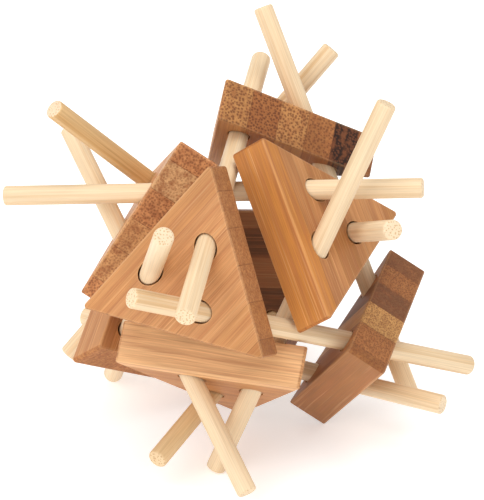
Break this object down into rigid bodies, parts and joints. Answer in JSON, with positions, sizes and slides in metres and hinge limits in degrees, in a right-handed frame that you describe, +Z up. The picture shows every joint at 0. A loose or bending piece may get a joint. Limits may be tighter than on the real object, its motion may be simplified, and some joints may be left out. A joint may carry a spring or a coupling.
{
  "type": "interlocking stick puzzle",
  "caption": "Interlocking bamboo puzzle: thick triangular plates with slanting holes, pinned together by long round sticks into two frames that share one centre.",
  "frame": {"origin": "on the ground, under the middle of the puzzle's box as it stands", "axes": "+Z up, as it stands on a corner of the right plate, a corner of the back plate and the end of one stick; -Y to the front, where the outer front plate faces, +X to the right"},
  "size_m": [0.1192, 0.1188, 0.1029],
  "materials": {
    "bamboo_plate": "steamed tan-brown bamboo strips glued side by side, sanded, bare, satin",
    "bamboo_stick": "pale bare bamboo rod with fine lengthwise fibres, satin",
    "bamboo_stick_golden": "golden bare bamboo rod with fine lengthwise fibres, satin"
  },
  "bodies": {
    "plates": {"outer_front_plate": "bamboo_plate", "outer_top_plate": "bamboo_plate", "outer_right_plate": "bamboo_plate", "outer_back_plate": "bamboo_plate", "inner_east_plate": "bamboo_plate", "inner_west_plate": "bamboo_plate", "inner_low_plate": "bamboo_plate", "inner_far_plate": "bamboo_plate"},
    "outer_stick_front_right": {"outer_stick_front_right": "bamboo_stick"},
    "outer_stick_front_top": {"outer_stick_front_top": "bamboo_stick"},
    "outer_stick_front_back": {"outer_stick_front_back": "bamboo_stick"},
    "outer_stick_top_right": {"outer_stick_top_right": "bamboo_stick"},
    "outer_stick_top_back": {"outer_stick_top_back": "bamboo_stick"},
    "outer_stick_right_back": {"outer_stick_right_back": "bamboo_stick"},
    "inner_stick_east_west": {"inner_stick_east_west": "bamboo_stick"},
    "inner_stick_east_low": {"inner_stick_east_low": "bamboo_stick"},
    "inner_stick_east_far": {"inner_stick_east_far": "bamboo_stick"},
    "inner_stick_west_low": {"inner_stick_west_low": "bamboo_stick"},
    "inner_stick_west_far": {"inner_stick_west_far": "bamboo_stick_golden"},
    "inner_stick_low_far": {"inner_stick_low_far": "bamboo_stick"}
  },
  "joints": [
    {"name": "outer_slide_front_right", "type": "slide", "parent": "plates", "child": "outer_stick_front_right", "axis": [-0.7997, -0.4291, 0.4199], "range_m": [-0.0195, 0.027]},
    {"name": "outer_slide_front_top", "type": "slide", "parent": "plates", "child": "outer_stick_front_top", "axis": [-0.1875, -0.9602, -0.2072], "range_m": [-0.026, 0.0205]},
    {"name": "outer_slide_front_back", "type": "slide", "parent": "plates", "child": "outer_stick_front_back", "axis": [0.148, -0.6788, 0.7193], "range_m": [-0.0245, 0.022]},
    {"name": "outer_slide_top_right", "type": "slide", "parent": "plates", "child": "outer_stick_top_right", "axis": [-0.344, 0.3761, 0.8604], "range_m": [-0.0305, 0.016]},
    {"name": "outer_slide_top_back", "type": "slide", "parent": "plates", "child": "outer_stick_top_back", "axis": [0.6579, 0.2101, 0.7232], "range_m": [-0.0255, 0.0205]},
    {"name": "outer_slide_right_back", "type": "slide", "parent": "plates", "child": "outer_stick_right_back", "axis": [0.8673, -0.4976, 0.0123], "range_m": [-0.0235, 0.023]},
    {"name": "inner_slide_east_west", "type": "slide", "parent": "plates", "child": "inner_stick_east_west", "axis": [0.981, -0.1724, 0.0887], "range_m": [-0.0265, 0.036]},
    {"name": "inner_slide_east_low", "type": "slide", "parent": "plates", "child": "inner_stick_east_low", "axis": [0.3997, 0.0641, 0.9144], "range_m": [-0.0395, 0.023]},
    {"name": "inner_slide_east_far", "type": "slide", "parent": "plates", "child": "inner_stick_east_far", "axis": [0.2815, -0.8517, 0.4421], "range_m": [-0.0275, 0.035]},
    {"name": "inner_slide_west_low", "type": "slide", "parent": "plates", "child": "inner_stick_west_low", "axis": [-0.416, 0.644, 0.6421], "range_m": [-0.0305, 0.032]},
    {"name": "inner_slide_west_far", "type": "slide", "parent": "plates", "child": "inner_stick_west_far", "axis": [-0.6007, -0.3746, 0.7063], "range_m": [-0.038, 0.0245]},
    {"name": "inner_slide_low_far", "type": "slide", "parent": "plates", "child": "inner_stick_low_far", "axis": [-0.5145, -0.8281, -0.2225], "range_m": [-0.0265, 0.036]}
  ]
}
